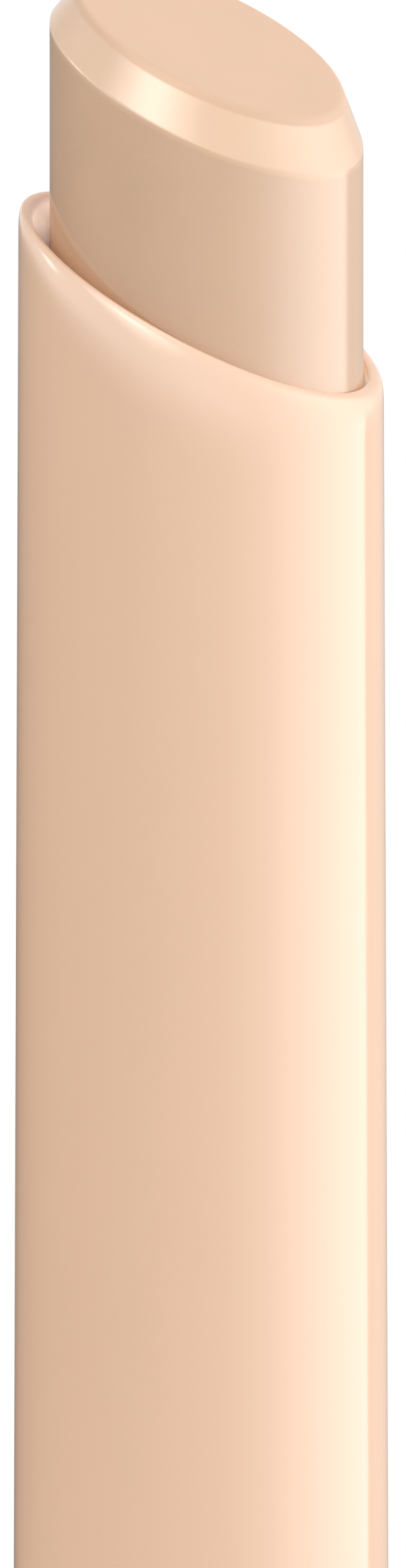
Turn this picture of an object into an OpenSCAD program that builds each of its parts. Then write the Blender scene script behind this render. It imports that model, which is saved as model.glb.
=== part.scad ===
// Twist-up concealer stick, shown uncapped with the bullet part of the way out.
// A tapered round barrel with a slanted, rounded rim holds a keyed plunger. Turning the base
// turns a coarse two-start screw, and its nut lifts the plunger, the cup and the bullet.
// Millimetres, +Z up the stick's axis, origin at the middle of the base's lower face.
// The low side of the slanted rim faces -Y.

/* [Stick] */
// Height of the rim's slanted plane on the axis, above the lower face of the base
rim_height = 84.1; // [82:0.1:100]
// Slope of the rim and of the bullet's tip, in degrees
slant = 31; // [20:1:38]

/* [Bullet] */
// Gap all round between the bullet and the bore, when the bullet is in the middle
bullet_gap = 0.28; // [0.22:0.01:0.4]
// Length of the bullet from its shoulder on the cup to the middle of its flat tip
bullet_len = 24; // [20:0.5:26]
// How far the lower edge of the bevel stands above the rim's plane, on the axis, at rest
bullet_out = 6.3; // [4:0.05:10]
// Distance of the bullet's axis from the barrel's, towards the rim's low side
bullet_lean = 0.2; // [0:0.01:0.21]
// Turn of the bullet's slant against the rim's, in degrees, counter-clockwise from above
bullet_turn = -11; // [-15:1:15]
// Height of the bevel around the tip
bevel_h = 1.32; // [0.6:0.01:2]
// Width of the bevel around the tip
bevel_w = 0.73; // [0.3:0.01:1.2]
// Shift of the flat tip down its own slope
tip_shift = 0.18; // [0:0.02:0.3]

/* [Barrel] */
// Outer diameter at the rim
barrel_d = 10.97; // [10:0.01:13]
// How much wider the radius is at the lower end, from the mould's draft
barrel_draft = 0.24; // [0.15:0.01:0.5]
// Wall at the rim
barrel_wall = 0.5; // [0.4:0.01:0.6]
// Rounding of the rim's outer edge, across the wall
rim_round_w = 0.38; // [0.2:0.01:0.4]
// Height of the same rounding, as the mean of the high and the low side
rim_round_h = 0.73; // [0.4:0.01:1]
// How much taller the rounding is on the high side, and lower on the low side
rim_round_more = 0.27; // [0:0.01:0.35]
// Rounding of the barrel's lower edge
barrel_edge = 0.25; // [0.1:0.05:0.4]

/* [Guide sleeve] */
// Step in the bore that the sleeve's upper end seats against
seat_step = 0.17; // [0.1:0.01:0.2]
// Wall of the sleeve around the nut
sleeve_wall = 1; // [0.8:0.05:1.05]
// Web across the sleeve's lower end, in line with the barrel's end face
web_t = 0.8; // [0.6:0.05:1.5]
// Length of the hexagonal guide at the sleeve's upper end
guide_len = 4.6; // [3:0.1:5]
// Height of the snap bead that holds the base on the neck
bead_proud = 0.25; // [0.15:0.01:0.4]
// Length of the snap bead along the neck
bead_len = 0.9; // [0.6:0.05:1.2]
// Distance from the top of the base to the middle of the snap bead
bead_down = 1.9; // [1.6:0.05:2.2]

/* [Brake ring] */
// Depth of the groove in the neck for the brake ring
ring_groove = 0.85; // [0.6:0.05:1]
// Distance from the top of the base to the middle of the brake ring
ring_down = 4.3; // [4:0.05:5]

/* [Cup and plunger] */
// Gap all round between the cup and the bore
cup_gap = 0.13; // [0.08:0.01:0.2]
// Wall of the cup around the bullet's foot
cup_wall = 0.58; // [0.4:0.01:0.9]
// Height of the cup
cup_h = 8; // [5:0.1:8.5]
// Thickness of the cup's floor
cup_floor = 1.2; // [1:0.05:2]
// Clearance between the feed screw and the bore up the plunger, on the radius
plunger_gap = 0.3; // [0.2:0.02:0.4]
// Thickness of solid left above that bore
plunger_head = 6; // [3:0.1:7]
// Diameter of the spigot that holds the plunger in the cup's floor
spigot_d = 3.6; // [2.5:0.1:4]

/* [Nut and feed screw] */
// Height of the nut
nut_h = 6; // [5.4:0.1:7]
// Wall of the nut outside the corners of its hexagonal pocket
nut_wall = 0.46; // [0.35:0.01:0.6]
// Depth of the hexagonal pocket in the nut that the plunger stands in
pocket_h = 2.6; // [2:0.1:2.8]
// Lead of the two-start thread, for one turn of the base
lead = 5; // [4:0.25:6]
// Outer diameter of the thread
thread_d = 3.6; // [3.2:0.05:3.8]
// Core diameter of the thread
thread_core = 2.6; // [2.2:0.05:2.8]
// Width of each thread, across the section
thread_w = 1.5; // [1:0.05:1.7]
// How much larger the journal's radius is than the thread's
journal_step = 0.2; // [0.1:0.02:0.4]
// Clearance between the collar and the core around it, on the radius
collar_gap = 0.7; // [0.2:0.05:1]
// Thickness of the collar
collar_t = 1; // [0.8:0.05:1.5]
// Thickness of the thrust washer
washer_t = 0.4; // [0.3:0.05:0.6]
// Size of the square drive end, across its flats
drive_af = 3; // [2.6:0.05:3.4]

/* [Base] */
// Height of the turning base
base_h = 16; // [15.5:0.1:18]
// How far the base stands out past the barrel's lower end, on the radius
base_step = 0.075; // [0:0.005:0.3]
// Wall of the base
base_wall = 0.8; // [0.6:0.02:0.9]
// Floor of the base
base_floor = 1; // [0.8:0.05:1.5]
// Rounding of the base's lower edge
base_edge = 0.5; // [0.2:0.05:0.7]
// Rounding of the base's upper edge
base_lip = 0.25; // [0.1:0.05:0.4]
// Height of the steel weight
weight_h = 4; // [2:0.1:4.2]
// Thickness of the floor of the core, which the drive end turns
core_floor = 2.5; // [2:0.05:3]
// Wall of the core around the neck
core_wall = 0.66; // [0.5:0.02:0.8]
// Distance of the core's upper end below the top of the base
core_inset = 0.5; // [0.3:0.05:0.8]

/* [Travel] */
// How far below the rim's plane the tip goes when it is turned right in
tuck_in = 1; // [0.5:0.1:1.2]
// How far the bullet rises from the place shown to its upper stop
travel_out = 12; // [8:0.1:12.2]

/* [Fits] */
// Clearance of a sliding or turning piece, on the radius
running = 0.05; // [0.03:0.005:0.08]
// Clearance of a pressed piece in its seat, on the radius
seat = 0.02; // [0.01:0.005:0.03]
// Clearance of the thread in its nut
thread_gap = 0.12; // [0.1:0.01:0.16]
// Gap left at each end of the plunger's travel, and between barrel and base
end_gap = 0.2; // [0.15:0.01:0.3]
// Radial clearance of the nut inside the sleeve
nut_gap = 0.2; // [0.15:0.01:0.3]

/* [Hidden] */

$fn = 96;
loft_n = 96;
rim_steps = 6;
thread_steps = 18;
thread_points = 14;
eps = 0.01;
beyond = 3;

// Colours as the photograph shows them, and plain ones for what it can't show
shell_tone = [0.89, 0.74, 0.63];
bullet_tone = [0.85, 0.69, 0.56];
moulded_white = [0.93, 0.92, 0.90];
steel_grey = [0.66, 0.67, 0.69];
ring_grey = [0.35, 0.35, 0.36];

// Heights, from the base upwards
slope = tan(slant);
barrel_z = base_h + end_gap;
weight_z = base_floor;
core_z = weight_z + weight_h;
collar_z = core_z + core_floor;
washer_z = collar_z + collar_t;
neck_z = washer_z + washer_t + running;
bead_z = base_h - bead_down;
ring_z = base_h - ring_down;
web_top = barrel_z + web_t;

// The bullet and what carries it, at rest
tip_z = rim_height + bullet_out + bevel_h;
shoulder_z = tip_z - bullet_len;
cup_z = shoulder_z - cup_h;
travel_in = bullet_out + bevel_h + tuck_in;
nut_z = web_top + end_gap + travel_in;
guide_z = nut_z + nut_h + travel_out + end_gap;
sleeve_top = guide_z + guide_len;
plunger_z = nut_z + nut_h - pocket_h;
screw_top = nut_z + travel_out + nut_h - pocket_h;

// Radii, each taken from the piece around it
top_r = barrel_d / 2;
crest_r = top_r - rim_round_w;
bore_r = top_r - barrel_wall;
bullet_r = bore_r - bullet_gap;
cup_r = bore_r - cup_gap;
foot_r = cup_r - cup_wall;
seat_r = bore_r + seat_step;
sleeve_r = seat_r - seat;
sleeve_bore_r = sleeve_r - sleeve_wall;
nut_r = sleeve_bore_r - nut_gap;
hex_af = 2 * (nut_r - nut_wall) * cos(30);

// Radii in the base, and those of the screw
barrel_foot_r = top_r + barrel_draft;
base_r = barrel_foot_r + base_step;
core_r = base_r - base_wall - seat;
core_bore_r = core_r - core_wall;
neck_r = core_bore_r - running - seat;
groove_r = neck_r - ring_groove;
ring_r = (core_bore_r - running - groove_r) / 2;
collar_r = core_bore_r - collar_gap;
thread_r = thread_d / 2;
journal_r = thread_r + journal_step;
plunger_bore_r = thread_r + plunger_gap;

// Outer radius of the drafted barrel at a height
function barrel_r(z) = barrel_foot_r - barrel_draft * (z - barrel_z) / (rim_height - barrel_z);

// One ring of a loft: a circle seen from above, on a plane that rises towards +Y by tilt
function ring(r, z, tilt, shift = 0) = [for (i = [0 : loft_n - 1])
    let (a = 360 * i / loft_n, y = r * sin(a))
    [r * cos(a), y - shift, z + tilt * y]];

// Closed solid through a stack of rings, from the lowest to the highest
module loft(rings) {
    last = (len(rings) - 1) * loft_n;
    points = [for (r = rings) each r];
    sides = [for (k = [0 : len(rings) - 2], i = [0 : loft_n - 1])
        let (a = k * loft_n + i, b = k * loft_n + (i + 1) % loft_n)
        each [[a, a + loft_n, b + loft_n], [a, b + loft_n, b]]];
    lower = [[for (i = [0 : loft_n - 1]) i]];
    upper = [[for (i = [0 : loft_n - 1]) last + loft_n - 1 - i]];
    polyhedron(points = points, faces = concat(lower, sides, upper), convexity = 4);
}

// Disc or tube between two heights
module tube(r, z0, z1, bore = 0) {
    translate([0, 0, z0])
        difference() {
            cylinder(r = r, h = z1 - z0);
            if (bore > 0)
                translate([0, 0, -eps]) cylinder(r = bore, h = z1 - z0 + 2 * eps);
        }
}

// Hexagonal prism standing on a height, sized across its flats
module hex_prism(af, z0, h) {
    translate([0, 0, z0]) cylinder(r = af / 2 / cos(30), h = h, $fn = 6);
}

// Square prism standing on a height, sized across its flats
module square_prism(af, z0, h) {
    translate([-af / 2, -af / 2, z0]) cube([af, af, h]);
}

// Two-start left-hand thread; grow adds clearance all round for the nut
module thread(z0, z1, grow = 0) {
    turns = (z1 - z0) / lead;
    rotate([0, 0, -360 * z0 / lead])
        translate([0, 0, z0])
            linear_extrude(height = z1 - z0, twist = 360 * turns,
                slices = ceil(turns * thread_steps), convexity = 6, $fn = thread_points)
                thread_section(grow);
}

module thread_section(grow) {
    reach = thread_r + grow;
    half_w = thread_w / 2 + grow;
    core = thread_core / 2 + grow;
    edge = asin(half_w / reach);
    root = asin(half_w / core);
    polygon([for (side = [0, 180])
        each concat(
            [for (a = [-edge, 0, edge]) reach * [cos(a + side), sin(a + side)]],
            [for (k = [0 : 3])
                let (a = root + (180 - 2 * root) * k / 3)
                core * [cos(a + side), sin(a + side)]])]);
}

// Everything below the slanted, rounded rim
module under_rim() {
    wide = 2 * barrel_foot_r;
    edge_tilt = slope - rim_round_more / crest_r;
    rounding = [for (k = [rim_steps : -1 : 0])
        let (t = 90 * k / rim_steps, fall = 1 - cos(t), r = crest_r + (rim_round_w + eps) * sin(t))
        ring(r, rim_height - fall * rim_round_h, slope - fall * rim_round_more / r)];
    loft(concat(
        [ring(wide, -beyond, 0), ring(wide, rim_height - rim_round_h, edge_tilt)],
        rounding));
}

// Everything below the bevelled, slanted tip; past is how far the bevel is carried outside
module under_tip() {
    past = 0.5;
    share = past / bevel_w;
    loft([
        ring(2 * bullet_r, cup_z - beyond, 0),
        ring(2 * bullet_r, tip_z - bevel_h * (1 + share), slope, -tip_shift * share),
        ring(bullet_r + past, tip_z - bevel_h * (1 + share), slope, -tip_shift * share),
        ring(bullet_r - bevel_w, tip_z, slope, tip_shift)]);
}

module barrel() {
    color(shell_tone)
        intersection() {
            difference() {
                rotate_extrude()
                    polygon([
                        [0, barrel_z],
                        [barrel_foot_r - barrel_edge, barrel_z],
                        [barrel_r(barrel_z + barrel_edge), barrel_z + barrel_edge],
                        [barrel_r(rim_height + beyond * 2), rim_height + beyond * 2],
                        [0, rim_height + beyond * 2]]);
                tube(bore_r, barrel_z - beyond, rim_height + 3 * beyond);
                tube(seat_r, barrel_z - beyond, sleeve_top);
            }
            under_rim();
        }
}

module guide_sleeve() {
    color(moulded_white)
        difference() {
            union() {
                tube(sleeve_r, barrel_z, sleeve_top);
                tube(neck_r, neck_z, barrel_z + eps);
                snap_bead(neck_r, bead_proud, 0);
            }
            tube(sleeve_bore_r, web_top, guide_z);
            hex_prism(hex_af + 2 * running, guide_z - eps, guide_len + 2 * eps);
            tube(journal_r + running, neck_z - eps, web_top + eps);
            translate([0, 0, ring_z])
                rotate_extrude()
                    translate([groove_r, -ring_r - running])
                        square([neck_r, 2 * (ring_r + running)]);
        }
}

// Bevelled ring around the neck; grow makes the matching groove in the core
module snap_bead(r, proud, grow) {
    half = bead_len / 2 + grow;
    translate([0, 0, bead_z])
        rotate_extrude()
            polygon([
                [r - 0.3, -half],
                [r, -half],
                [r + proud, -half + proud],
                [r + proud, half - proud],
                [r, half],
                [r - 0.3, half]]);
}

module brake_ring() {
    color(ring_grey)
        translate([0, 0, ring_z])
            rotate_extrude()
                translate([groove_r + ring_r, 0])
                    circle(r = ring_r);
}

module concealer_bullet() {
    color(bullet_tone) {
        translate([0, -bullet_lean, 0])
            intersection() {
                tube(bullet_r, shoulder_z, tip_z + beyond);
                rotate([0, 0, bullet_turn]) under_tip();
            }
        tube(foot_r, cup_z + cup_floor, shoulder_z + eps);
    }
}

module bullet_cup() {
    color(moulded_white)
        difference() {
            tube(cup_r, cup_z, shoulder_z);
            tube(foot_r + seat, cup_z + cup_floor, shoulder_z + eps);
            tube(spigot_d / 2 + seat, cup_z - eps, cup_z + cup_floor + eps);
        }
}

module plunger() {
    color(moulded_white)
        difference() {
            union() {
                hex_prism(hex_af, plunger_z, cup_z - plunger_z);
                tube(spigot_d / 2, cup_z - eps, cup_z + cup_floor - seat);
            }
            tube(plunger_bore_r, plunger_z - eps, cup_z - plunger_head);
        }
}

module feed_nut() {
    color(moulded_white)
        difference() {
            tube(nut_r, nut_z, nut_z + nut_h);
            hex_prism(hex_af + 2 * seat, plunger_z, pocket_h + eps);
            thread(nut_z - lead / 10, plunger_z + lead / 10, thread_gap);
        }
}

module feed_screw() {
    color(moulded_white)
        union() {
            thread(web_top, screw_top);
            tube(journal_r, washer_z, web_top + eps);
            tube(collar_r, collar_z, washer_z);
            square_prism(drive_af, core_z + end_gap, core_floor - end_gap + eps);
        }
}

module thrust_washer() {
    color(moulded_white)
        tube(collar_r, washer_z, washer_z + washer_t, journal_r + seat);
}

module base_core() {
    color(moulded_white)
        difference() {
            tube(core_r, core_z, base_h - core_inset);
            tube(core_bore_r, collar_z, base_h);
            square_prism(drive_af + 2 * seat, core_z - eps, core_floor + 2 * eps);
            snap_bead(core_bore_r, bead_proud, running);
        }
}

module base_weight() {
    color(steel_grey)
        tube(core_r, weight_z, core_z);
}

module twist_base() {
    color(shell_tone)
        difference() {
            rotate_extrude()
                union() {
                    polygon([
                        [0, 0],
                        [base_r - base_edge, 0],
                        [base_r, base_edge],
                        [base_r, base_h - base_lip],
                        [base_r - base_lip, base_h],
                        [0, base_h]]);
                    translate([base_r - base_edge, base_edge]) circle(r = base_edge);
                    translate([base_r - base_lip, base_h - base_lip]) circle(r = base_lip);
                }
            tube(base_r - base_wall, base_floor, base_h + beyond);
        }
}

barrel();
guide_sleeve();
brake_ring();
concealer_bullet();
bullet_cup();
plunger();
feed_nut();
feed_screw();
thrust_washer();
base_core();
base_weight();
twist_base();
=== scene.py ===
"""Looks of a twist-up concealer stick, uncapped, with its bullet part of the way out.

The barrel, the bullet and the turning base are lofted shells. The pieces inside keep their
own shapes and get their finishes here. Sizes are in metres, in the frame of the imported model.
"""

import math
from collections import namedtuple

import bpy
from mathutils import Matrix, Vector


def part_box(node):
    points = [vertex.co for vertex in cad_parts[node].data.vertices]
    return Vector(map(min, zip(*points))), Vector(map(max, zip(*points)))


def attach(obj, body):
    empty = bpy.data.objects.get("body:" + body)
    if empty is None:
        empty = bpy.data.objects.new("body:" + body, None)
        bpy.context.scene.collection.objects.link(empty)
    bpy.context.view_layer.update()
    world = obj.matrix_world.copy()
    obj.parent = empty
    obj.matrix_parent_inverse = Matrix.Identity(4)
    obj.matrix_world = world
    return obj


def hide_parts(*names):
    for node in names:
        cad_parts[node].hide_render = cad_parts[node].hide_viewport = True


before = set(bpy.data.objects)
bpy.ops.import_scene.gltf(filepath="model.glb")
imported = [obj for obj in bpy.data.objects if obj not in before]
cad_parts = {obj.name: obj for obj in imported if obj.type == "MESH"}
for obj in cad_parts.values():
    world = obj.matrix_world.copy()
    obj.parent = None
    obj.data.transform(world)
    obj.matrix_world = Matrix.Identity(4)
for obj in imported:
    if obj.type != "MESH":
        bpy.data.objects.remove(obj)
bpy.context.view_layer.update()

MM = 0.001
Z_UP = Vector((0, 0, 1))

# Slanted rim of the barrel
SLANT = math.tan(math.radians(31))
RIM_Z = 84.1 * MM
CREST_BACK = 0.08 * MM
RIM_OUTER_W = 0.28 * MM
RIM_CORNER_W = 0.06 * MM
ROUNDING_FRONT = 3.4 * MM
ROUNDING_SIDE = 0.8 * MM
SHOULDER_FRONT = 0.5 * MM
SHOULDER_SIDE = 0.03 * MM
RIM_INNER_H = 0.45 * MM
RIM_INNER_LEAN = 0.35 * MM
BARREL_WALL = 0.5 * MM
BARREL_DRAFT = 0.24 * MM
BARREL_EDGE = 0.25 * MM
SEAT_STEP = 0.17 * MM

# Bevelled tip of the bullet
TIP_Z = 91.72 * MM
BEVEL_H = 1.32 * MM
BEVEL_W = 0.73 * MM
BEVEL_EDGE = 0.06 * MM
TIP_EDGE = 0.17 * MM
TIP_SHIFT = 0.18 * MM
TIP_TURN = math.radians(-11)
FOOT_CORE_R = 4.275 * MM

# Turning base
BASE_EDGE = 0.5 * MM
BASE_LIP = 0.25 * MM
BASE_WALL = 0.8 * MM
BASE_FLOOR = 1.0 * MM

# Small radius that every moulded corner has, and how finely the shells are divided
MOULD_RADIUS = 0.04 * MM
MOULD_STEPS = 4
ARC_STEPS = 10
RIM_STEPS = 20
WALL_STEPS = 26
STEPS_AROUND = 256
WELD_DISTANCE = 0.001 * MM

# A level camera, far away with a long lens, at the photograph's angle
IMAGE_H = 2560
PIXEL = 0.01837 * MM
VIEW_AZIMUTH = math.radians(-53)
VIEW_Z = 69.4 * MM
AXIS_OFFSET = 0.055 * MM
LENS_MM = 400.0
SENSOR_MM = 36.0
CLIP_START = 0.05
CLIP_END = 20.0
TO_CAMERA = Vector((math.sin(VIEW_AZIMUTH), -math.cos(VIEW_AZIMUTH), 0))
TO_RIGHT = Vector((math.cos(VIEW_AZIMUTH), math.sin(VIEW_AZIMUTH), 0))
RIM_FRONT = VIEW_AZIMUTH - math.pi / 2

# Floor
FLOOR_RADII = (0.03, 0.06, 0.12, 0.2, 0.35, 0.6)
FLOOR_SIDES = 64
FLOOR_FADE = (0.14, 0.4)
FLOOR_TONE = (0.72, 0.72, 0.72)

# Brightness of what the stick reflects round it, at the level and raised above it. Each stop is
# an azimuth, in degrees to the right of the camera, and a brightness of at most the full one
BAND_FULL = 8.0
LEVEL_BAND = ((-180, 0.25), (-165, 0.1), (-120, 0.0), (-95, 0.1), (-60, 0.3), (-30, 0.8),
              (-8, 1.2), (16, 1.7), (23, 2.2), (39, 3.1), (55, 4.7), (74, 6.0), (94, 6.2),
              (120, 4.4), (125.6, 3.9), (126.6, 1.0), (140, 0.95), (155, 0.7), (180, 0.3))
RAISED_BAND = ((-180, 0.9), (-130, 1.6), (-104, 3.7), (-80, 4.8), (-40, 4.8), (0, 5.2),
               (40, 4.6), (60, 5.4), (75, 6.2), (95, 6.1), (110, 4.6), (128, 2.6),
               (146, 1.1), (160, 0.9), (180, 0.9))

# The raised band takes over from the level one between two heights, of which the lower one is
# itself higher on the softbox side
RAISED_START_AT_RIGHT = 0.06
RAISED_FULL = 0.16
RIGHT_BLEND = (0.6, 0.9)

# Reflections from overhead: brighter towards one direction, and never below a least
TOP_DIRECTION = (0, 30)
TOP_GAIN = 2.9
TOP_MIDDLE = 1.8
TOP_LEAST = 0.85
TOP_BLEND = (0.5, 0.8)

# Lamps in reflections and lamps that light: azimuth, elevation, the angle within which each is
# full and the one past which it is gone, all in degrees, and the strength
GLOSSY_LAMPS = ((-24, 43, 3, 14, 3.6), (-24, 43, 5, 30, 5.0), (-98, 23, 3, 9, 6.0),
                (30, 76, 4, 18, 3.5))
SOFT_LAMPS = ((-50, 28, 4, 40, 1.92), (75, 10, 10, 50, 2.55), (165, 20, 10, 60, 1.6))

# Soft light from above
SKY_BLEND = (-0.1, 1.0)
SKY_LIGHT = 0.82

# Colours, in linear light. The bore's tone and glow and the bullet's bevel and face tones hold
# painted light and shade
SHELL_TONE = (0.755, 0.5, 0.345)
SHELL_BORE_PAINTED_LIGHT_TONE = (0.88, 0.64, 0.47)
PAINTED_BORE_GLOW = (0.36, 0.3, 0.24)
CONCEALER_TONE = (0.565, 0.362, 0.232)
CONCEALER_BEVEL_PAINTED_LIGHT_TONE = (0.63, 0.405, 0.252)
CONCEALER_FACE_PAINTED_SHADE_TONE = (0.538, 0.346, 0.226)
ACETAL_TONE = (0.82, 0.81, 0.77)
STEEL_TONE = (0.42, 0.42, 0.44)
SILICONE_TONE = (0.05, 0.05, 0.055)

# The barrel's bore is painted a lighter tone, painted light that lifts the shade in the gap round
# the bullet. It ends outside the bore's wall and starts under the rim, and the bore's weak
# painted glow fades further down. The glow is painted light: emission that stands for light
# through the thin wall, and only a share of it is left on the side away from the softbox
BORE_BLEND = (0.08 * MM, 0.2 * MM)
RIM_BLEND = (0.02 * MM, 0.22 * MM)
GLOW_FADE = (0.5 * MM, 1.6 * MM)
GLOW_SHARE = 0.5
FOOT_BLEND = 0.1 * MM

# Where the bullet's side takes the bevel's tone, painted lighter as painted light, counted up
# from the bevel's lower edge, and how far under the cut face the face's tone, painted darker as
# painted shade, starts
BEVEL_BLEND = (-0.15 * MM, 0.05 * MM)
FACE_BLEND = 0.1 * MM


def socket_of(sockets, key):
    """The socket at a place, or the one in use with a name or identifier."""
    if isinstance(key, int):
        return sockets[key]
    return next(s for s in sockets if s.enabled and key in (s.name, s.identifier))


def set_stops(ramp, stops):
    """Gives a ramp its stops, which are pairs of a place and a brightness."""
    while len(ramp.elements) > 1:
        ramp.elements.remove(ramp.elements[-1])
    ramp.elements[0].position = stops[0][0]
    ramp.elements[0].color = (*[stops[0][1]] * 3, 1)
    for place, brightness in stops[1:]:
        ramp.elements.new(place).color = (*[brightness] * 3, 1)


class Term:
    """A number from a node's socket. Each operator on it adds a Math node."""

    def __init__(self, graph, socket):
        self.graph = graph
        self.socket = socket

    def math(self, operation, *values):
        """The number that a Math node makes of some values."""
        inputs = dict(enumerate(values))
        return self.graph.number("ShaderNodeMath", {"operation": operation}, inputs)

    def __add__(self, other):
        return self.math("ADD", self, other)

    def __radd__(self, other):
        return self.math("ADD", other, self)

    def __sub__(self, other):
        return self.math("SUBTRACT", self, other)

    def __rsub__(self, other):
        return self.math("SUBTRACT", other, self)

    def __mul__(self, other):
        return self.math("MULTIPLY", self, other)

    def __truediv__(self, other):
        return self.math("DIVIDE", self, other)

    def __pow__(self, other):
        return self.math("POWER", self, other)

    def sin(self):
        return self.math("SINE", self)

    def cos(self):
        return self.math("COSINE", self)

    def rise(self, start, end):
        """0 up to start and 1 from end, smooth between them."""
        settings = {"interpolation_type": "SMOOTHSTEP"}
        inputs = {"Value": self, "From Min": start, "From Max": end}
        return self.graph.number("ShaderNodeMapRange", settings, inputs)


class Graph:
    """Adds nodes to one shader tree or geometry tree."""

    def __init__(self, tree):
        self.tree = tree

    def add(self, kind, settings=None, inputs=None):
        """A node of a kind. Its settings are made first, then its sockets get values or links."""
        node = self.tree.nodes.new(kind)
        for name, value in (settings or {}).items():
            if name == "stops":
                set_stops(node.color_ramp, value)
            else:
                setattr(node, name, value)
        for key, value in (inputs or {}).items():
            target = socket_of(node.inputs, key)
            source = value.socket if isinstance(value, Term) else value
            if isinstance(source, bpy.types.NodeSocket):
                self.tree.links.new(source, target)
            else:
                target.default_value = source
        return node

    def number(self, kind, settings=None, inputs=None, output=0):
        """The number that a new node puts out."""
        node = self.add(kind, settings, inputs)
        return Term(self, socket_of(node.outputs, output))

    def split(self, vector):
        """The three parts of a vector, as numbers."""
        node = self.add("ShaderNodeSeparateXYZ", None, {0: vector})
        return [Term(self, s) for s in node.outputs]

    def noise(self, place, scale, detail):
        """Noise from 0 to 1, with scale features to the metre."""
        inputs = {"Vector": place, "Scale": scale, "Detail": detail}
        return self.number("ShaderNodeTexNoise", None, inputs, "Fac")

    def blend(self, share, first, second):
        """A mix of two colours from sockets or values."""
        inputs = {"Factor": share, "A": first, "B": second}
        node = self.add("ShaderNodeMix", {"data_type": "RGBA"}, inputs)
        return socket_of(node.outputs, "Result")

    def mix_colour(self, share, first, second):
        """A mix of two colours from values without an alpha."""
        return self.blend(share, (*first, 1), (*second, 1))

    def bump(self, height, distance):
        """The normal of a fine relief, whose height from 0 to 1 is a distance in metres."""
        inputs = {"Height": height, "Distance": distance, "Strength": 1.0}
        return self.add("ShaderNodeBump", None, inputs).outputs["Normal"]


def shifted(tone, share):
    """A colour made lighter or darker by a share."""
    return tuple(min(1.0, part * (1 + share)) for part in tone)


def new_finish(name):
    """A material with one Principled shader, its graph, and the place on the piece."""
    material = bpy.data.materials.new(name)
    material.use_nodes = True
    graph = Graph(material.node_tree)
    shader = next(n for n in material.node_tree.nodes if n.type == "BSDF_PRINCIPLED")
    place = graph.add("ShaderNodeTexCoord").outputs["Object"]
    return material, graph, shader, place


def feed(graph, shader, **sockets):
    """Links or sets the shader's sockets, named with underscores for spaces."""
    for name, value in sockets.items():
        target = shader.inputs[name.replace("_", " ")]
        source = value.socket if isinstance(value, Term) else value
        if isinstance(source, bpy.types.NodeSocket):
            graph.tree.links.new(source, target)
        else:
            target.default_value = source


def shell_plastic():
    """Glossy peach-beige moulded plastic, with a trace of flow and orange peel, and a painted
    lighter tone and painted glow in the bore for light in the gap.
    """
    material, graph, shader, place = new_finish("shell_plastic")
    flow = graph.noise(place, scale=160, detail=3)
    peel = graph.noise(place, scale=1500, detail=2)
    outside = graph.mix_colour(flow, shifted(SHELL_TONE, -0.015), shifted(SHELL_TONE, 0.015))
    x, y, z = graph.split(place)
    from_axis = (x * x + y * y) ** 0.5
    low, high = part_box("barrel")
    bore_r = high.x - BARREL_DRAFT - BARREL_WALL
    in_barrel = z.rise(low.z - FOOT_BLEND, low.z)
    below_rim = RIM_Z + y * SLANT - z
    bore_painted_light_mask = in_barrel * (1 - from_axis.rise(bore_r + BORE_BLEND[0], bore_r + BORE_BLEND[1]))
    bore_painted_light_mask = bore_painted_light_mask * below_rim.rise(*RIM_BLEND)
    # Painted light: the bore takes a lighter tone than the outside, to lift the shade in the gap
    # round the bullet.
    colour = graph.blend(bore_painted_light_mask, outside, (*SHELL_BORE_PAINTED_LIGHT_TONE, 1))
    at_right = (x * TO_RIGHT.x + y * TO_RIGHT.y).rise(0, bore_r)
    lit_side = at_right * (1 - GLOW_SHARE) + GLOW_SHARE
    # Painted light: a weak emission glow in the bore, brighter towards the softbox, stands for
    # light through the thin wall.
    glow = bore_painted_light_mask * lit_side * (1 - below_rim.rise(*GLOW_FADE))
    feed(graph, shader, Base_Color=colour, Roughness=0.11 + flow * 0.03,
         Normal=graph.bump(peel, distance=0.4e-6),
         Emission_Color=graph.mix_colour(glow, (0, 0, 0), PAINTED_BORE_GLOW))
    feed(graph, shader, IOR=1.46, Emission_Strength=1.0)
    material.cycles.emission_sampling = "NONE"
    return material


def concealer_wax():
    """Smooth creamy wax with fine pigment specks and a soft sheen. Its bevel is painted lighter
    and its cut face darker, as painted light and shade.
    """
    material, graph, shader, place = new_finish("concealer_wax")
    cloud = graph.noise(place, scale=450, detail=3)
    specks = graph.noise(place, scale=9000, detail=2)
    grain = cloud * 0.6 + specks * 0.4
    # The bevel's lighter tone is painted light and the cut face's darker tone is painted shade:
    # copies of the wax for how light falls on them.
    sides, bevel, face = [graph.mix_colour(grain, shifted(tone, -0.05), shifted(tone, 0.05))
                          for tone in (CONCEALER_TONE, CONCEALER_BEVEL_PAINTED_LIGHT_TONE,
                                       CONCEALER_FACE_PAINTED_SHADE_TONE)]
    x, y, z = graph.split(place)
    above = z - (TIP_Z - BEVEL_H) - (y * math.cos(TIP_TURN) - x * math.sin(TIP_TURN)) * SLANT
    colour = graph.blend(above.rise(*BEVEL_BLEND), sides, bevel)
    on_face = above.rise(BEVEL_H - FACE_BLEND, BEVEL_H)
    colour = graph.blend(on_face, colour, face)
    feed(graph, shader, Base_Color=colour, Roughness=0.17 + cloud * 0.05 + on_face * 0.28,
         Normal=graph.bump(specks, distance=1.5e-6))
    feed(graph, shader, IOR=1.52)
    return material


def moulded_acetal():
    """Natural white moulded acetal, satin."""
    material, graph, shader, place = new_finish("moulded_acetal")
    cloud = graph.noise(place, scale=300, detail=3)
    grain = graph.noise(place, scale=12000, detail=2)
    colour = graph.mix_colour(cloud, shifted(ACETAL_TONE, -0.03), shifted(ACETAL_TONE, 0.02))
    feed(graph, shader, Base_Color=colour, Roughness=0.36 + cloud * 0.08,
         Normal=graph.bump(grain, distance=2e-6))
    return material


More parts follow.
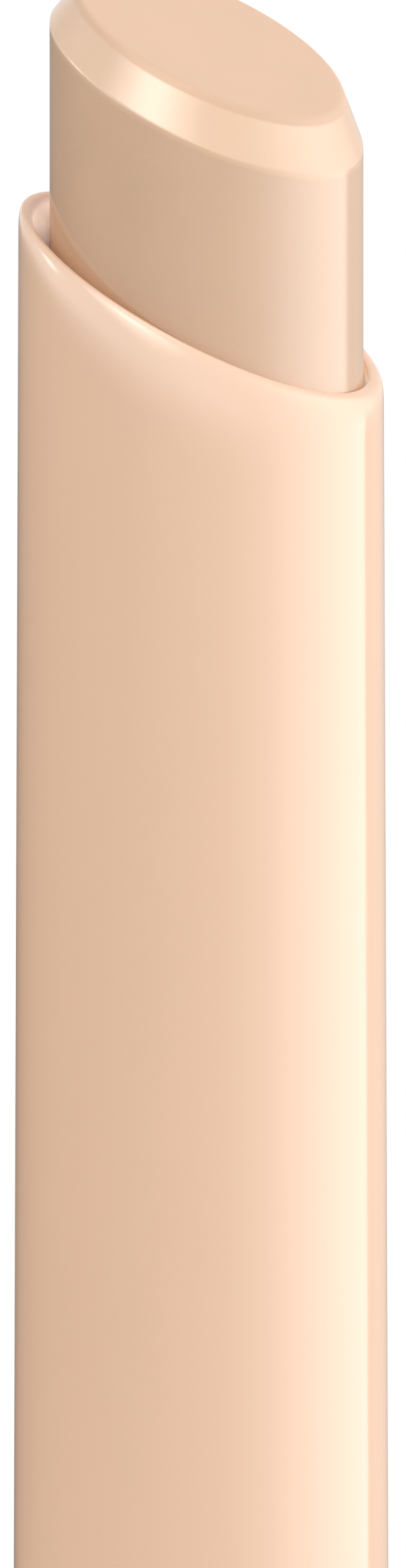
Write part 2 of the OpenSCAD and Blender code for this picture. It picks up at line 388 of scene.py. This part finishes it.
def turned_steel():
    """Steel slug, turned and faced, with fine rings on its faces."""
    material, graph, shader, place = new_finish("turned_steel")
    x, y, z = graph.split(place)
    radius = (x * x + y * y) ** 0.5
    rings = ((radius + z) * 40000).sin()
    smears = graph.noise(place, scale=900, detail=3)
    colour = graph.mix_colour(smears, shifted(STEEL_TONE, -0.12), shifted(STEEL_TONE, 0.12))
    feed(graph, shader, Base_Color=colour, Roughness=0.26 + smears * 0.12,
         Normal=graph.bump(rings, distance=1.5e-6))
    feed(graph, shader, Metallic=1.0)
    return material


def silicone():
    """Dark silicone of the brake ring."""
    material, graph, shader, place = new_finish("silicone")
    bloom = graph.noise(place, scale=2500, detail=3)
    colour = graph.mix_colour(bloom, shifted(SILICONE_TONE, -0.2), shifted(SILICONE_TONE, 0.3))
    feed(graph, shader, Base_Color=colour, Roughness=0.5 + bloom * 0.15,
         Normal=graph.bump(bloom, distance=3e-6))
    return material


# One ring of a shell: its plane rises by tilt along the slant, its centre may be off the axis,
# and bow lifts it in front and behind and lowers it at the sides
Ring = namedtuple("Ring", "radius height tilt x y bow", defaults=(0.0, 0.0, 0.0, 0.0))


def ring_between(first, second, share):
    """The ring at a share of the way from the first ring to the second."""
    return Ring(*(a + (b - a) * share for a, b in zip(first, second)))


def stretch(first, second, steps):
    """Rings on a straight stretch, closer together towards its ends; the last is left out."""
    shares = [(1 - math.cos(math.pi * k / steps)) / 2 for k in range(steps)]
    return [ring_between(first, second, share) for share in shares]


def curve(controls, steps=ARC_STEPS):
    """Rings on a smooth curve, drawn by its control rings, from the first to before the last."""
    made = []
    for k in range(steps):
        left = controls
        while len(left) > 1:
            left = [ring_between(a, b, k / steps) for a, b in zip(left, left[1:])]
        made += left
    return made


def run_through(corners):
    """Rings through corners, which are (ring, how far its rounding reaches) pairs."""
    made = []
    reached = corners[0][0]
    last = corners[-1][0]
    for k in range(1, len(corners) - 1):
        corner, reach = corners[k]
        start = step_off(corner, corners[k - 1][0], reach)
        end = step_off(corner, corners[k + 1][0], reach)
        steps = ARC_STEPS if reach > MOULD_RADIUS else MOULD_STEPS
        made += stretch(reached, start, WALL_STEPS)
        made += curve([start, corner, end], steps)
        reached = end
    return made + stretch(reached, last, WALL_STEPS) + [last]


def step_off(ring, other, distance):
    """The ring a distance away from one ring, towards another."""
    apart = math.hypot(other.radius - ring.radius, other.height - ring.height)
    return ring_between(ring, other, distance / apart)


def loft_tree():
    """Geometry nodes that turn a section into a closed shell around the axis.

    Each point of the section is one ring: x is its radius, y its tilt and z its height. Its
    attribute called centre holds where its centre is, and its bow as the third number.
    """
    tree = bpy.data.node_groups.new("lofted_shell", "GeometryNodeTree")
    sizes = (("Section", "NodeSocketGeometry"), ("Steps Around", "NodeSocketInt"),
             ("Slant Turn", "NodeSocketFloat"), ("Finish", "NodeSocketMaterial"))
    names = {}
    for name, kind in sizes:
        socket = tree.interface.new_socket(name, in_out="INPUT", socket_type=kind)
        names[name] = socket.identifier
    tree.interface.new_socket("Shell", in_out="OUTPUT", socket_type="NodeSocketGeometry")
    graph = Graph(tree)
    given = graph.add("NodeGroupInput")
    section, steps, turn, finish = given.outputs[:4]
    steps_around = Term(graph, steps)
    count = graph.number("GeometryNodeAttributeDomainSize", {"component": "MESH"},
                         {"Geometry": section}, "Point Count")
    grid = graph.add("GeometryNodeMeshGrid", None, {
        "Size X": steps, "Size Y": count - 1,
        "Vertices X": steps_around + 1, "Vertices Y": count})
    column, row, _ = graph.split(graph.add("GeometryNodeInputPosition").outputs[0])
    angle = (column + steps_around * 0.5) / steps_around * math.tau
    ring_index = row + (count - 1) * 0.5 + 0.5
    whole = {"data_type": "FLOAT_VECTOR", "domain": "POINT"}
    own_place = graph.add("GeometryNodeInputPosition").outputs[0]
    centre = graph.add("GeometryNodeInputNamedAttribute", {"data_type": "FLOAT_VECTOR"},
                       {"Name": "centre"})
    index = graph.number("FunctionNodeFloatToInt", {"rounding_mode": "FLOOR"},
                         {0: ring_index})
    ring = graph.add("GeometryNodeSampleIndex", whole,
                     {"Geometry": section, "Value": own_place, "Index": index})
    middle = graph.add("GeometryNodeSampleIndex", whole,
                       {"Geometry": section, "Value": socket_of(centre.outputs, "Attribute"),
                        "Index": index})
    radius, tilt, height = graph.split(socket_of(ring.outputs, "Value"))
    middle_x, middle_y, bow = graph.split(socket_of(middle.outputs, "Value"))
    slope = tilt * radius * (angle - Term(graph, turn)).sin()
    place = graph.add("ShaderNodeCombineXYZ", None, {
        0: middle_x + radius * angle.cos(),
        1: middle_y + radius * angle.sin(),
        2: height + slope + bow * (angle * 2 - RIM_FRONT * 2).cos()})
    placed = graph.add("GeometryNodeSetPosition", None,
                       {"Geometry": grid.outputs["Mesh"], "Position": place.outputs[0]})
    closed = graph.add("GeometryNodeMergeByDistance", None,
                       {"Geometry": placed.outputs[0], "Distance": WELD_DISTANCE})
    smooth = graph.add("GeometryNodeSetShadeSmooth", None, {0: closed.outputs[0]})
    real = graph.add("GeometryNodeRealizeInstances", None, {0: smooth.outputs[0]})
    done = graph.add("GeometryNodeSetMaterial", None,
                     {"Geometry": real.outputs[0], "Material": finish})
    graph.add("NodeGroupOutput", None, {0: done.outputs[0]})
    return tree, names


def lofted(name, rings, finish, turn=0.0):
    """A plain mesh piece, lofted through rings by the geometry nodes."""
    section = bpy.data.meshes.new(name)
    edges = [(k, k + 1) for k in range(len(rings) - 1)]
    section.from_pydata([(r.radius, r.tilt, r.height) for r in rings], edges, [])
    centres = section.attributes.new("centre", "FLOAT_VECTOR", "POINT")
    centres.data.foreach_set("vector", [part for r in rings for part in (r.x, r.y, r.bow)])
    piece = bpy.data.objects.new(name, section)
    bpy.context.scene.collection.objects.link(piece)
    loft = piece.modifiers.new("loft", "NODES")
    loft.node_group, names = LOFT
    loft[names["Steps Around"]] = STEPS_AROUND
    loft[names["Slant Turn"]] = turn
    loft[names["Finish"]] = finish
    graph = bpy.context.evaluated_depsgraph_get()
    shell = bpy.data.meshes.new_from_object(piece.evaluated_get(graph), depsgraph=graph)
    piece.modifiers.remove(loft)
    piece.data = shell
    shell.name = name
    return piece


def barrel_shell(finish):
    """The barrel: a drafted wall with a slanted rim, whose rounding reaches further down in
    front and behind than at its sides.
    """
    low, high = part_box("barrel")
    foot_r = high.x
    top_r = foot_r - BARREL_DRAFT
    bore_r = top_r - BARREL_WALL
    seat_r = bore_r + SEAT_STEP
    seat_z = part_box("guide_sleeve")[1].z
    back = TO_CAMERA * -CREST_BACK
    crest_z = RIM_Z + back.y * SLANT
    rim_start = Ring(top_r, RIM_Z - (ROUNDING_FRONT + ROUNDING_SIDE) / 2, SLANT,
                     bow=(ROUNDING_SIDE - ROUNDING_FRONT) / 2)
    shoulder = Ring(top_r, RIM_Z - (SHOULDER_FRONT + SHOULDER_SIDE) / 2, SLANT,
                    bow=(SHOULDER_SIDE - SHOULDER_FRONT) / 2)
    corner = Ring(top_r - RIM_CORNER_W, crest_z, SLANT, back.x, back.y)
    crest = Ring(top_r - RIM_OUTER_W, crest_z, SLANT, back.x, back.y)
    rim_inner = Ring(bore_r, RIM_Z, SLANT)
    bore_start = Ring(bore_r, RIM_Z - RIM_INNER_H, SLANT - RIM_INNER_LEAN / bore_r)
    lower = run_through([
        (Ring(seat_r, low.z), 0),
        (Ring(foot_r, low.z), BARREL_EDGE),
        (rim_start, 0)])[:-1]
    rim = curve([rim_start, shoulder, corner, crest], RIM_STEPS)
    rim += curve([crest, rim_inner, bore_start])
    inside = run_through([
        (bore_start, 0),
        (Ring(bore_r, seat_z), MOULD_RADIUS),
        (Ring(seat_r, seat_z), MOULD_RADIUS),
        (Ring(seat_r, low.z), 0)])
    return lofted("barrel_shell", lower + rim + inside, finish)


def bullet_stick(finish):
    """The bullet: a foot in its cup, a round stick and a slanted tip with a bevel."""
    low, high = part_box("concealer_bullet")
    radius = (high.x - low.x) / 2
    lean = (low.y + high.y) / 2
    shoulder_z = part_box("bullet_cup")[1].z
    shift_x = math.sin(TIP_TURN) * TIP_SHIFT
    shift_y = -math.cos(TIP_TURN) * TIP_SHIFT
    tip_r = radius - BEVEL_W
    rings = run_through([
        (Ring(0, low.z), 0),
        (Ring(FOOT_CORE_R, low.z), MOULD_RADIUS),
        (Ring(FOOT_CORE_R, shoulder_z), MOULD_RADIUS),
        (Ring(radius, shoulder_z, 0, 0, lean), MOULD_RADIUS),
        (Ring(radius, TIP_Z - BEVEL_H, SLANT, 0, lean), BEVEL_EDGE),
        (Ring(tip_r, TIP_Z, SLANT, shift_x, lean + shift_y), TIP_EDGE),
        (Ring(0, TIP_Z, SLANT, shift_x, lean + shift_y), 0)])
    return lofted("bullet_stick", rings, finish, TIP_TURN)


def base_shell(finish):
    """The turning base: a cup with a flat foot, a rounded lower edge and a small lip."""
    low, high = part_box("twist_base")
    radius = high.x
    inner_r = radius - BASE_WALL
    rings = run_through([
        (Ring(0, low.z), 0),
        (Ring(radius, low.z), BASE_EDGE),
        (Ring(radius, high.z), BASE_LIP),
        (Ring(inner_r, high.z), MOULD_RADIUS),
        (Ring(inner_r, BASE_FLOOR), MOULD_RADIUS),
        (Ring(0, BASE_FLOOR), 0)])
    return lofted("base_shell", rings, finish)


def finish_nodes(names, finish):
    """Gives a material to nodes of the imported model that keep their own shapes."""
    for name in names:
        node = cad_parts[name]
        if not node.material_slots:
            node.data.materials.append(finish)
        for slot in node.material_slots:
            slot.material = finish


def light_direction(azimuth, elevation):
    """Direction of a light, in degrees to the right of the camera and above the level."""
    side, up = math.radians(azimuth), math.radians(elevation)
    level = TO_CAMERA * math.cos(side) + TO_RIGHT * math.sin(side)
    return level * math.cos(up) + Z_UP * math.sin(up)


def studio_light():
    """A soft white studio round the stick: a tall softbox on the right, light from above and
    a small softbox on the left in front. What the camera sees of it is white.
    """
    world = bpy.data.worlds.new("studio")
    bpy.context.scene.world = world
    world.use_nodes = True
    graph = Graph(world.node_tree)
    world.node_tree.nodes.clear()
    x, y, z = graph.split(graph.add("ShaderNodeTexCoord").outputs["Generated"])

    def facing(direction):
        return x * direction.x + y * direction.y + z * direction.z

    def lamp(azimuth, elevation, inner, outer, strength):
        """A round soft light, full within an inner and gone past an outer angle."""
        near = facing(light_direction(azimuth, elevation))
        return near.rise(math.cos(math.radians(outer)), math.cos(math.radians(inner))) * strength

    to_right = facing(TO_RIGHT)
    azimuth = to_right.math("ARCTAN2", to_right, facing(TO_CAMERA))

    def band(stops):
        """Brightness round the horizon, from pairs of an azimuth and a brightness."""
        settings = {"stops": [((a + 180) / 360, v / BAND_FULL) for a, v in stops]}
        inputs = {0: azimuth / math.tau + 0.5}
        return graph.number("ShaderNodeValToRGB", settings, inputs, "Color") * BAND_FULL

    level = band(LEVEL_BAND)
    raised = band(RAISED_BAND)
    at_right = to_right.rise(*RIGHT_BLEND)
    over = z.rise(at_right * RAISED_START_AT_RIGHT, RAISED_FULL)
    top = facing(light_direction(*TOP_DIRECTION)) * TOP_GAIN + TOP_MIDDLE
    top = top.math("MAXIMUM", top, TOP_LEAST)
    glossy = level + over * (raised - level)
    glossy = glossy + z.rise(*TOP_BLEND) * (top - glossy)
    for settings in GLOSSY_LAMPS:
        glossy = glossy + lamp(*settings)

    soft = z.rise(*SKY_BLEND) * SKY_LIGHT
    for settings in SOFT_LAMPS:
        soft = soft + lamp(*settings)

    ray = graph.add("ShaderNodeLightPath")
    is_glossy = Term(graph, ray.outputs["Is Glossy Ray"])
    is_camera = Term(graph, ray.outputs["Is Camera Ray"])
    light = soft + is_glossy * (glossy - soft)
    seen = light + is_camera * (1 - light)
    background = graph.add("ShaderNodeBackground", None,
                           {"Color": (1, 1, 1, 1), "Strength": seen})
    graph.add("ShaderNodeOutputWorld", None, {"Surface": background.outputs[0]})


def pale_floor():
    """A round pale floor that keeps the stick's shadow and fades to white further out."""
    count = FLOOR_SIDES
    angles = [k * math.tau / count for k in range(count)]
    points = [(r * math.cos(angle), r * math.sin(angle), 0)
              for r in FLOOR_RADII for angle in angles]
    faces = [tuple(range(count))]
    for n in range(len(FLOOR_RADII) - 1):
        for k in range(count):
            a = n * count + k
            b = n * count + (k + 1) % count
            faces.append((a, a + count, b + count, b))
    mesh = bpy.data.meshes.new("floor")
    mesh.from_pydata(points, [], faces)
    floor = bpy.data.objects.new("floor", mesh)
    bpy.context.scene.collection.objects.link(floor)

    material = bpy.data.materials.new("pale_floor")
    material.use_nodes = True
    material.node_tree.nodes.clear()
    graph = Graph(material.node_tree)
    place = graph.add("ShaderNodeTexCoord").outputs["Object"]
    x, y, _ = graph.split(place)
    distance = (x * x + y * y) ** 0.5
    is_camera = Term(graph, graph.add("ShaderNodeLightPath").outputs["Is Camera Ray"])
    matt = graph.add("ShaderNodeBsdfDiffuse", None, {"Color": (*FLOOR_TONE, 1)})
    white = graph.add("ShaderNodeEmission", None, {"Strength": 1.0})
    share = is_camera * distance.rise(*FLOOR_FADE)
    mixed = graph.add("ShaderNodeMixShader", None,
                      {0: share, 1: matt.outputs[0], 2: white.outputs[0]})
    graph.add("ShaderNodeOutputMaterial", None, {"Surface": mixed.outputs[0]})
    mesh.materials.append(material)


def camera_at_photo_angle():
    """A level camera with a long lens, aimed a little beside the stick's axis."""
    data = bpy.data.cameras.new("camera")
    data.lens = LENS_MM
    data.sensor_width = SENSOR_MM
    camera = bpy.data.objects.new("camera", data)
    bpy.context.scene.collection.objects.link(camera)
    distance = IMAGE_H * PIXEL * LENS_MM / SENSOR_MM
    target = Z_UP * VIEW_Z + TO_RIGHT * AXIS_OFFSET
    camera.location = target + TO_CAMERA * distance
    camera.rotation_mode = "QUATERNION"
    camera.rotation_quaternion = (-TO_CAMERA).to_track_quat("-Z", "Y")
    data.clip_start = CLIP_START
    data.clip_end = CLIP_END
    bpy.context.scene.camera = camera


LOFT = loft_tree()
SHELL = shell_plastic()
ACETAL = moulded_acetal()

camera_at_photo_angle()
studio_light()
pale_floor()

barrel = barrel_shell(SHELL)
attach(barrel, "barrel")
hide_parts("barrel")

bullet = bullet_stick(concealer_wax())
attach(bullet, "bullet_carrier")
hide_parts("concealer_bullet")

base = base_shell(SHELL)
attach(base, "base")
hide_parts("twist_base")

finish_nodes(["guide_sleeve", "bullet_cup", "plunger", "feed_nut", "feed_screw",
              "thrust_washer", "base_core"], ACETAL)
finish_nodes(["base_weight"], turned_steel())
finish_nodes(["brake_ring"], silicone())

bpy.context.scene.view_settings.view_transform = "Standard"
